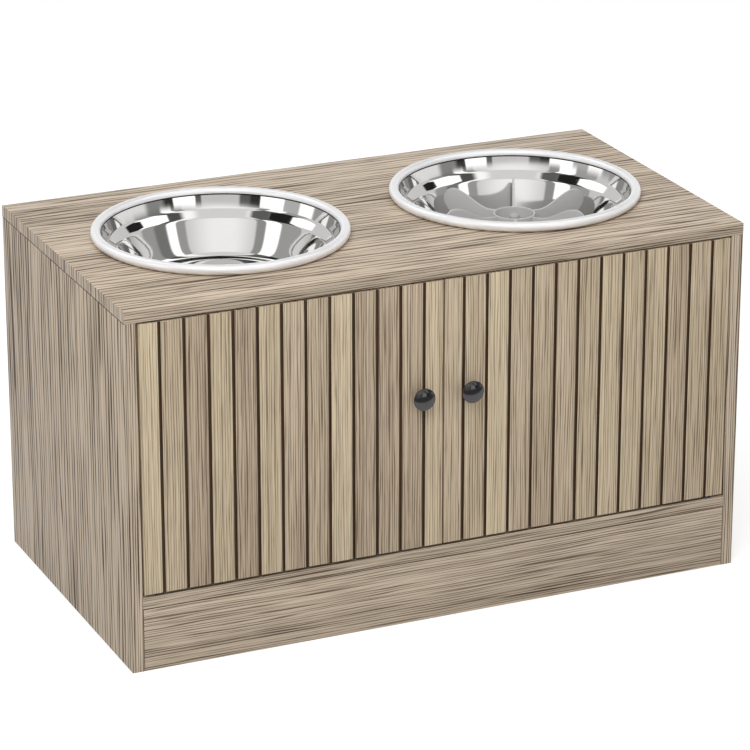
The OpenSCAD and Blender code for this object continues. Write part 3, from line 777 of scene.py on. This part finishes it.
def copied(points, instance, turn):
    """Puts an instance on each point, at a given turn."""
    rotation = out("FunctionNodeEulerToRotation", {0: turn})
    return out("GeometryNodeInstanceOnPoints", {
        "Points": points, "Instance": instance, "Rotation": rotation,
    })


def grooved_door_tree():
    """A board with upright grooves milled in its face."""
    tree, given, identifiers = geometry_tree(
        "Grooved door",
        Float=(
            "Width", "Thickness", "Height", "Edge Distance", "Groove Width", "Groove Depth",
        ),
        Int=("Groove Count",), Vector=("Centre",), Material=("Board Finish", "Groove Finish"),
    )
    size = vector(given["Width"], given["Thickness"], given["Height"])
    board = out("GeometryNodeMeshCube", {"Size": size})
    first = given["Width"] * -0.5 + given["Edge Distance"]
    front = given["Thickness"] * -0.5
    between = given["Edge Distance"] * -2.0 + given["Width"]
    pitch = between / (given["Groove Count"] - 1.0)
    row = out("GeometryNodeMeshLine", {
        "Count": given["Groove Count"], "Start Location": vector(first, front),
        "Offset": vector(pitch, 0.0),
    }, mode="OFFSET")
    cutter = vector(given["Groove Width"], given["Groove Depth"] * 2.0, given["Height"] * 1.1)
    cutter = out("GeometryNodeMeshCube", {"Size": cutter})
    cutters = out("GeometryNodeInstanceOnPoints", {"Points": row, "Instance": cutter})
    milled = cut_away(board, out("GeometryNodeRealizeInstances", {0: cutters}))
    placed = moved(milled, given["Centre"])
    here = source(tree, "GeometryNodeInputPosition")
    local = vector_step("SUBTRACT", here, given["Centre"])
    depth, slack = split(local)[1] - front, 0.1 * MM
    upright = calc("ABSOLUTE", split(source(tree, "GeometryNodeInputNormal"))[2])
    inside = (depth > slack) * (depth < given["Groove Depth"] + slack) * (upright < 0.5)
    end_tree(placed, (given["Board Finish"], None), (given["Groove Finish"], inside))
    return tree, identifiers


def fin_ring_tree():
    """Repeats one fin round an upright axis."""
    tree, given, identifiers = geometry_tree(
        "Fin ring", Geometry=("Geometry",), Int=("Fin Count",), Float=("First Fin",), Vector=("Centre",),
        Material=("Finish",),
    )
    points = out("GeometryNodePoints", {"Count": given["Fin Count"], "Position": given["Centre"]})
    step = (2 * math.pi) / given["Fin Count"]
    turn = source(tree, "GeometryNodeInputIndex") * step + given["First Fin"]
    end_tree(copied(points, given["Geometry"], vector(0.0, 0.0, turn)), (given["Finish"], None))
    return tree, identifiers


def screws_tree():
    """A cross-head screw on each point, its tip along a given turn of +Z.

    The head is cut a thousand times larger, so that the boolean keeps its small faces.
    """
    tree, given, identifiers = geometry_tree(
        "Screws", Geometry=("Geometry",), Vector=("Turn",),
        Float=("Head Diameter", "Head Height", "Shank Diameter", "Shank Length"), Material=("Finish",),
    )
    enlarged = 1 / MM
    head_r = given["Head Diameter"] * (0.5 * enlarged)
    head_h = given["Head Height"] * enlarged
    head = out("GeometryNodeMeshCone", {
        "Vertices": 40, "Side Segments": 1, "Radius Top": head_r, "Radius Bottom": head_r * 0.68,
        "Depth": head_h,
    })
    down = vector(0.0, 0.0, head_h * -1.0)
    head = moved(head, down)
    long, wide = head_r * 1.1, head_r * 0.24
    for sizes, depth in (((long, wide), 1.0), ((wide, long), 0.84)):
        arm = out("GeometryNodeMeshCube", {"Size": vector(*sizes, head_h * depth)})
        head = cut_away(head, moved(arm, down))
    head = out("GeometryNodeTransform", {"Geometry": head, "Scale": (MM, MM, MM)})
    shank = out("GeometryNodeMeshCylinder", {
        "Vertices": 24, "Radius": given["Shank Diameter"] * 0.5, "Depth": given["Shank Length"],
    })
    shank = moved(shank, vector(0.0, 0.0, given["Shank Length"] * 0.5))
    screw = add(tree, "GeometryNodeJoinGeometry")
    for part in (head, shank):
        send(screw.inputs, {0: part})
    screw = Signal(tree, screw.outputs[0])
    end_tree(copied(given["Geometry"], screw, given["Turn"]), (given["Finish"], None))
    return tree, identifiers


# Operators


class FEEDER_OT_boards(bpy.types.Operator):
    """Makes the cabinet's boards with rounded edges and laid grain, with painted shade on the edges where
    boards meet
    """

    bl_idname = "feeder.boards"
    bl_label = "Boards"

    def execute(self, context):
        wood = context.scene.feeder_wood
        boards = {
            "top_panel": ("Oak top", 0, wood.top_pitch, "oak_board"),
            "left_side_panel": ("Oak side", 2, wood.side_pitch, "oak_side"),
            "right_side_panel": ("Oak side", 2, wood.side_pitch, "oak_side"),
            "bottom_panel": ("Oak plinth", 0, wood.front_pitch, "oak_board"),
            "plinth_board": ("Oak plinth", 0, wood.front_pitch, "oak_board"),
        }
        for number, (node, (label, along, pitch, slot)) in enumerate(boards.items()):
            bm = frame_copy(node)
            others = [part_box(other) for other in boards if other != node]
            # Painted shade: rounded edges that lie against another board take the dark seam finish, in place
            # of the shadow in the joint
            for face in soften(bm, wood.edge_round, 20 * MM):
                place = face.calc_center_median()
                if any(touches(place, box, wood.edge_round) for box in others):
                    face.material_index = 1
            lay_grain(bm, along, 0.37 * number, pitch / wood.front_pitch)
            piece(bm, node + "_board", "cabinet", node, [label, "Oak seam painted shade"], slot)
        refinish("back_panel", "Hardboard")
        return {"FINISHED"}


class FEEDER_OT_doors(bpy.types.Operator):
    """Mills the grooves of both doors with a Geometry Nodes tree"""

    bl_idname = "feeder.doors"
    bl_label = "Doors"

    def execute(self, context):
        doors = context.scene.feeder_doors
        tree, identifiers = grooved_door_tree()
        for number, side in enumerate(SIDES):
            node = side + "_door"
            size = extent(node)
            mesh = grown(tree, identifiers, {
                "Width": size.x, "Thickness": size.y, "Height": size.z, "Centre": tuple(middle(node)),
                "Groove Count": doors.grooves, "Edge Distance": doors.groove_edge,
                "Groove Width": doors.groove_width, "Groove Depth": doors.groove_depth,
                "Board Finish": finish("Oak door"), "Groove Finish": finish("Milled groove"),
            })
            bm = bmesh.new()
            bm.from_mesh(mesh)
            bmesh.ops.remove_doubles(bm, verts=bm.verts, dist=WELD)
            soften(bm, doors.edge_round, 1.0 * MM)
            lay_grain(bm, 2, 3.1 + 0.53 * number)
            piece(bm, node + "_board", node, node, ["Oak door", "Milled groove"], "oak_door")
        return {"FINISHED"}


class FEEDER_OT_knobs(bpy.types.Operator):
    """Turns the two knobs"""

    bl_idname = "feeder.knobs"
    bl_label = "Knobs"

    def outline(self, knobs, reach, disc_r):
        """Half a knob's outline from the door outwards, its crown a flattened dome."""
        foot, stem = knobs.foot_radius, knobs.stem_radius
        back = reach - knobs.dome - knobs.rim
        points = eased([
            (0, 0), (foot, 0), (foot, 0.9 * MM), (stem, 1.8 * MM), (stem, back - 3 * MM),
            (knobs.flare_radius, back - 0.8 * MM), (disc_r - 0.4 * MM, back),
            (disc_r, back + 0.5 * MM), (disc_r, back + knobs.rim),
        ], [0.3, 0.4, 0.6, 2.2, 2, 0.6, 0.4])
        steps = 16
        for step in range(1, steps + 1):
            out_share = math.cos(math.radians(90 * step / steps)) if step < steps else 0.0
            rise = knobs.dome * (1 - out_share ** 2.2) ** 0.8
            points.append((disc_r * out_share, back + knobs.rim + rise))
        return points

    def execute(self, context):
        knobs = context.scene.feeder_knobs
        for side in SIDES:
            node = side + "_knob"
            low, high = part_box(node)
            outline = self.outline(knobs, high.y - low.y, (high.x - low.x) / 2)
            bm = turned(outline, knobs.segments)
            centre = middle(node)
            place = Matrix.Translation((centre.x, high.y, centre.z)) @ Matrix.Rotation(math.pi / 2, 4, "X")
            bmesh.ops.transform(bm, matrix=place, verts=bm.verts)
            piece(bm, node + "_turned", side + "_door", node, ["Dark nickel"], "gunmetal")
        return {"FINISHED"}


class FEEDER_OT_bowls(bpy.types.Operator):
    """Turns the two bowls, polished inside, with a satin rolled rim and a band of painted shade under it"""

    bl_idname = "feeder.bowls"
    bl_label = "Bowls"

    # The wall's curve leaves the floor level for a share of its run, and comes to the shoulder from
    # a point that lies in and down from it by shares of the run and of the rise
    FLOOR_PULL, SHOULDER_IN, SHOULDER_DOWN = 0.28, 0.66, 0.92

    def wall(self, floor, shoulder, steps=24):
        """Points on the drawn wall, a cubic curve from the floor's edge to the shoulder."""
        run, rise = shoulder[0] - floor[0], shoulder[1] - floor[1]
        controls = [
            Vector(floor), Vector((floor[0] + self.FLOOR_PULL * run, floor[1])),
            Vector((shoulder[0] - self.SHOULDER_IN * run, shoulder[1] - self.SHOULDER_DOWN * rise)),
            Vector(shoulder),
        ]
        points = []
        for step in range(steps + 1):
            t = step / steps
            weights = ((1 - t) ** 3, 3 * t * (1 - t) ** 2, 3 * t * t * (1 - t), t ** 3)
            points.append(tuple(sum((w * c for w, c in zip(weights, controls)), Vector((0, 0)))))
        return points

    def execute(self, context):
        bowls = context.scene.feeder_bowls
        roll, mouth = bowls.roll_radius, RIM_R - bowls.mouth_inset
        floor = (bowls.floor_radius, -bowls.depth)
        wall = self.wall(floor, (bowls.shoulder_radius, -bowls.shoulder_depth))
        crease = (bowls.crease_radius, -bowls.crease_depth)
        edge = (mouth - bowls.band_slope, -bowls.band_depth)
        corner = eased([wall[-2], wall[-1], crease, edge], [1.6, 1.8], 5)
        inside = [(0, floor[1]), (0.4 * floor[0], floor[1]), (0.8 * floor[0], floor[1])]
        inside += wall[:-1] + corner[1:]
        outside = beside(inside, bowls.sheet)
        outside[0] = (0, floor[1] - bowls.sheet)
        outside = [point for point in outside if point[1] < -3.0 * MM]
        notch = [(mouth + 0.5 * MM, -1.5 * MM), (mouth + 0.55 * MM, -0.6 * MM)]
        bead = arc((RIM_R - roll, 0), roll, 186, -146, 40)
        path = inside + notch + bead + outside[::-1]
        notch_end = len(inside) + len(notch) - 1
        # The second marked run, just under the bead, takes the dark crease finish: painted shade for the
        # crease's shadow
        marked = (range(notch_end, len(path) - len(outside)), range(len(inside) - 1, notch_end))
        for side in SIDES:
            node = side + "_bowl"
            bm = turned(path, bowls.segments, marked=marked)
            centre = middle(node)
            offset = Vector((centre.x, centre.y, BOWL_HIGH.z - roll))
            bmesh.ops.translate(bm, vec=offset, verts=bm.verts)
            finishes = ["Polished steel", "Satin rim", "Rim crease painted shade"]
            piece(bm, node + "_turned", node, node, finishes, "polished_steel")
        return {"FINISHED"}


class FEEDER_OT_insert(bpy.types.Operator):
    """Makes the slow-feeder insert, its fins by Geometry Nodes, and its suction cup"""

    bl_idname = "feeder.insert"
    bl_label = "Slow-feeder Insert"

    def fin(self, insert, foot):
        """One fin along +X, standing on Z 0, its foot reaching a distance from the axis."""
        steps = 20
        hub_r, hub_h, end = insert.hub_diameter / 2, insert.hub_height, insert.fin_end
        root, root_z = hub_r - insert.hub_wall / 2, hub_h - 0.8 * MM
        start, stop, top = hub_r + 8 * MM, insert.fin_reach - end, hub_h + insert.fin_rise
        outline = [(root, 0), (root, root_z)]
        for step in range(steps + 1):
            t = step / steps
            outline.append((start + t * (stop - start), root_z + (top - root_z) * t * t * (3 - 2 * t)))
        outline += arc((stop, top - end), end, 90, -25, steps)[1:]
        outline += [(insert.fin_reach - 6 * MM, hub_h - 9 * MM), (foot + 5 * MM, 6 * MM), (foot, 0)]
        bm = bmesh.new()
        half = insert.fin_thickness / 2
        near, far = ([bm.verts.new((r, y, z)) for r, z in outline] for y in (-half, half))
        bm.faces.new(near)
        bm.faces.new(far[::-1])
        for index in range(len(outline)):
            after = (index + 1) % len(outline)
            bm.faces.new([near[after], near[index], far[index], far[after]])
        if bm.calc_volume(signed=True) < 0:
            bmesh.ops.reverse_faces(bm, faces=bm.faces)
        rims = [
            edge for edge in bm.edges
            if edge.calc_face_angle() > math.radians(80)
            and abs(edge.verts[0].co.y - edge.verts[1].co.y) < 1e-7
        ]
        bmesh.ops.bevel(bm, geom=rims, offset=0.45 * MM, segments=3, profile=0.5, affect="EDGES")
        mesh = bpy.data.meshes.new("fin")
        bm.to_mesh(mesh)
        bm.free()
        return mesh

    def hub(self, insert):
        """The hub: a cup with a bored floor, open below."""
        hub_r, hub_h = insert.hub_diameter / 2, insert.hub_height
        cup_r, bore = hub_r - insert.hub_wall, insert.bore_radius
        under, over = insert.floor_under, insert.floor_over
        path = [
            (bore, over), (bore, under), (cup_r, under), (cup_r, 0), (hub_r, 0), (hub_r, hub_h),
            (cup_r, hub_h), (cup_r, over), (bore + 1e-5, over),
        ]
        return turned(eased(path, [0.2, 1, 0.4, 0.4, 0.85, 0.85, 2.5])[:-1], 128, closed=True)

    def suction_cup(self, insert):
        """The suction cup under the hub's floor, its round-topped post standing through it."""
        under, over = insert.floor_under, insert.floor_over
        neck, lip, head = insert.neck_radius, insert.lip_radius, insert.head_radius
        dome = 0.8 * head
        shoulder = over + insert.post_height - dome
        path = eased([
            (0, under - 3 * MM), (neck + 1 * MM, under - 3.5 * MM), (lip, 0), (lip, 1.2 * MM),
            (neck + 3 * MM, under - 1 * MM), (neck + 2 * MM, under), (neck, under), (neck, over),
            (head, over), (head, shoulder),
        ], [2, 0.4, 0.5, 1.5, 0.3, 0.1, 0.1, 0.3])
        for degrees in range(10, 91, 10):
            turn = math.radians(degrees)
            out_share = math.cos(turn) if degrees < 90 else 0.0
            path.append((head * out_share, shoulder + dome * math.sin(turn)))
        return turned(path, 64)

    def execute(self, context):
        insert = context.scene.feeder_insert
        bowl = middle("right_bowl")
        foot = Vector((bowl.x, bowl.y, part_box("slow_feeder_insert")[0].z))
        tree, identifiers = fin_ring_tree()
        fin = self.fin(insert, context.scene.feeder_bowls.floor_radius - insert.foot_inset)
        fins = grown(tree, identifiers, {
            "Fin Count": insert.fins, "First Fin": insert.first_fin, "Centre": tuple(foot),
            "Finish": finish("Insert plastic"),
        }, fin)
        for node, make, extra, label, slot in (
            ("slow_feeder_insert", self.hub, fins, "Insert plastic", "insert_plastic"),
            ("insert_suction_cup", self.suction_cup, None, "Silicone", "silicone"),
        ):
            bm = make(insert)
            bmesh.ops.translate(bm, vec=foot, verts=bm.verts)
            if extra:
                bm.from_mesh(extra)
            piece(bm, node + "_moulded", "insert", node, [label], slot)
        return {"FINISHED"}


class FEEDER_OT_catches(bpy.types.Operator):
    """Makes the magnetic catches, strike plates and their screws"""

    bl_idname = "feeder.catches"
    bl_label = "Catches"

    def points(self, node, axis, depth):
        """A mesh of one vertex for each screw, at a depth along an axis where its head seats."""
        bm = frame_copy(node)
        places = []
        for island in islands(bm):
            spans = [[vert.co[part] for vert in island] for part in range(3)]
            place = [(min(values) + max(values)) / 2 for values in spans]
            place[axis] = depth
            places.append(place)
        bm.free()
        mesh = bpy.data.meshes.new(node + "_places")
        mesh.from_pydata(places, [], [])
        return mesh

    def execute(self, context):
        fittings = context.scene.feeder_fittings
        softened = {
            "catch_housing": ("cabinet", 0.5 * MM, "Catch plastic", "catch_plastic"),
            "catch_magnet": ("cabinet", 0.3 * MM, "Ferrite", "magnet"),
            "strike_plate": (None, 0.2 * MM, "Plated steel", "steel_hardware"),
        }
        for side in SIDES:
            for kind, (body, width, label, slot) in softened.items():
                node = side + "_" + kind
                bm = frame_copy(node)
                soften(bm, width, 5 * MM, 2)
                piece(bm, node + "_made", body or side + "_door", node, [label], slot)
        tree, identifiers = screws_tree()
        for node, body in (
            ("catch_screws", "cabinet"), ("left_strike_screws", "left_door"),
            ("right_strike_screws", "right_door"),
        ):
            low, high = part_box(node)
            upright = body == "cabinet"
            axis = 2 if upright else 1
            depth = low.z + fittings.head_height if upright else high.y - fittings.head_height
            mesh = grown(tree, identifiers, {
                "Turn": (0.0 if upright else math.pi / 2, 0.0, 0.0),
                "Head Diameter": fittings.head_diameter, "Head Height": fittings.head_height,
                "Shank Diameter": fittings.shank_diameter, "Shank Length": fittings.shank_length,
                "Finish": finish("Plated steel"),
            }, self.points(node, axis, depth))
            settle(mesh, node + "_made", body, node, "steel_hardware", 30.0)
        return {"FINISHED"}


class FEEDER_OT_fittings(bpy.types.Operator):
    """Finishes the cam fittings, dowels, bushes, pins and knob screws"""

    bl_idname = "feeder.fittings"
    bl_label = "Fittings"

    def execute(self, context):
        for board in ("top", "bottom", "plinth"):
            for kind, label in (("_cam_bolts", "Zinc"), ("_cam_discs", "Zinc"), ("_dowels", "Beech")):
                refinish(board + kind, label)
        # The bushes' dark nylon is partly painted shade, matching the shadow in the door gap
        refinish("pivot_bushes", "Nylon darkened to gap shade")
        for side in SIDES:
            refinish(side + "_door_pins", "Plated steel")
            refinish(side + "_knob_screw", "Plated steel")
        return {"FINISHED"}


class FEEDER_OT_studio(bpy.types.Operator):
    """Sets the floor, the lamps, the surroundings and the camera"""

    bl_idname = "feeder.studio"
    bl_label = "Studio"

    def floor(self, studio):
        """A sheet of paper, lifted to white where it is seen, that ends in grey for mirrors."""
        mesh = bpy.data.meshes.new("studio_floor")
        corners = [(x * FLOOR_REACH, y * FLOOR_REACH, 0) for x, y in ((-1, -1), (1, -1), (1, 1), (-1, 1))]
        mesh.from_pydata(corners, [], [(0, 1, 2, 3)])
        material = bpy.data.materials.new("Studio floor")
        tree = bare_tree(material)
        place = coordinates(tree, "object")
        tint = blend(noise(place), (0.54, 0.54, 0.54, 1), (0.56, 0.56, 0.56, 1))
        paper = out("ShaderNodeBsdfDiffuse", {"Color": tint})
        glow, shade = (
            source(tree, "ShaderNodeEmission", inputs={"Strength": strength})
            for strength in (studio.floor_lift, HORIZON_GREY)
        )
        path = signals(tree, "ShaderNodeLightPath")
        seen = calc("MAXIMUM", path["Is Camera Ray"], path["Is Glossy Ray"])
        seen = calc("MAXIMUM", seen, path["Is Transmission Ray"])
        sheet = mixed_shader(seen, paper, out("ShaderNodeAddShader", {0: paper, 1: glow}))
        beyond = path["Is Glossy Ray"] * ramp(split(place)[1], *HORIZON, 1.0, 0.0)
        surface = mixed_shader(beyond, sheet, shade)
        send(add(tree, "ShaderNodeOutputMaterial").inputs, {"Surface": surface})
        mesh.materials.append(material)
        made = put("studio_floor", mesh)

    def surroundings(self, studio):
        """White for the camera, even light for matt surfaces, and tiers of cards for mirrors."""
        world = bpy.data.worlds.new("Studio")
        bpy.context.scene.world = world
        tree = bare_tree(world)
        x, y, z = split(source(tree, "ShaderNodeTexCoord", "Generated"))
        compass = calc("WRAP", calc("ARCTAN2", x, y * -1.0) - studio.turn, math.pi, -math.pi)
        width = calc("MINIMUM", calc("ABSOLUTE", compass), TIER_REACH)
        height = width * width * TIER_BOW + calc("ARCSINE", z)
        level = None
        for start, tier, cards in STUDIO_TIERS:
            for where, wide, soft, grey in cards:
                mask = place_group(tree, "Studio card", {
                    "Compass": compass, "Middle": math.radians(where), "Half Width": math.radians(wide),
                    "Softness": math.radians(soft),
                })["Mask"]
                tier = ramp(mask, 0.0, 1.0, tier, grey, "LINEAR")
            if level:
                above = math.radians(start)
                tier = ramp(height, above - TIER_BLUR, above + TIER_BLUR, level, tier)
            level = tier
        cards, white, even = (
            source(tree, "ShaderNodeBackground", inputs={"Color": (1, 1, 1, 1), "Strength": strength})
            for strength in (level, 1.0, studio.ambient)
        )
        path = signals(tree, "ShaderNodeLightPath")
        clear = calc("MAXIMUM", path["Is Camera Ray"], path["Is Transmission Ray"])
        surface = mixed_shader(clear, mixed_shader(path["Is Glossy Ray"], even, cards), white)
        send(add(tree, "ShaderNodeOutputWorld").inputs, {"Surface": surface})

    def lamp(self, name, place, size, power):
        light = bpy.data.lights.new(name, "AREA")
        light.shape = "RECTANGLE"
        light.size, light.size_y = size
        light.energy = power * WATTS
        made = put(name, light)
        made.location = place
        made.rotation_euler = (Vector((0, 0, 0.2)) - Vector(place)).to_track_quat("-Z", "Y").to_euler()
        made.visible_glossy = False

    def execute(self, context):
        studio = context.scene.feeder_studio
        self.floor(studio)
        self.surroundings(studio)
        self.lamp("key_lamp", (-1.7, -2.0, 2.6), (1.6, 1.6), studio.key)
        self.lamp("top_lamp", (-0.2, -0.1, 2.7), (2.4, 2.4), studio.overhead)
        self.lamp("fill_lamp", (1.2, -3.2, 1.2), (1.6, 1.2), studio.fill)
        data = bpy.data.cameras.new("camera")
        data.sensor_width = 36.0
        data.lens = studio.lens
        camera = put("camera", data)
        camera.location = studio.camera_place
        camera.rotation_euler = (math.pi / 2 - studio.tilt, 0.0, studio.turn)
        context.scene.camera = camera
        context.scene.view_settings.view_transform = "Standard"
        return {"FINISHED"}


# The settings and the operators that read them, in the order in which they run
ROWS = (
    ("feeder_wood", FeederWood, (FEEDER_OT_boards,)),
    ("feeder_doors", FeederDoors, (FEEDER_OT_doors,)),
    ("feeder_knobs", FeederKnobs, (FEEDER_OT_knobs,)),
    ("feeder_bowls", FeederBowls, (FEEDER_OT_bowls,)),
    ("feeder_insert", FeederInsert, (FEEDER_OT_insert,)),
    ("feeder_fittings", FeederFittings, (FEEDER_OT_catches, FEEDER_OT_fittings)),
    ("feeder_studio", FeederStudio, (FEEDER_OT_studio,)),
)


class VIEW3D_PT_feeder(bpy.types.Panel):
    """Lists the feeder's pieces and their sizes and colours"""

    bl_label = "Dog Feeder"
    bl_idname = "VIEW3D_PT_feeder"
    bl_space_type = "VIEW_3D"
    bl_region_type = "UI"
    bl_category = "Feeder"

    def draw(self, context):
        for attribute, group, operators in ROWS:
            box = self.layout.box()
            for operator in operators:
                box.operator(operator.bl_idname)
            for key in group.__annotations__:
                box.prop(getattr(context.scene, attribute), key)


def register():
    for attribute, group, operators in ROWS:
        bpy.utils.register_class(group)
        setattr(bpy.types.Scene, attribute, bpy.props.PointerProperty(type=group))
        for operator in operators:
            bpy.utils.register_class(operator)
    bpy.utils.register_class(VIEW3D_PT_feeder)


def unregister():
    bpy.utils.unregister_class(VIEW3D_PT_feeder)
    for attribute, group, operators in reversed(ROWS):
        for operator in operators:
            bpy.utils.unregister_class(operator)
        delattr(bpy.types.Scene, attribute)
        bpy.utils.unregister_class(group)


def main():
    register()
    for _, _, operators in ROWS:
        for operator in operators:
            group, name = operator.bl_idname.split(".")
            getattr(getattr(bpy.ops, group), name)()


if __name__ == "__main__":
    main()
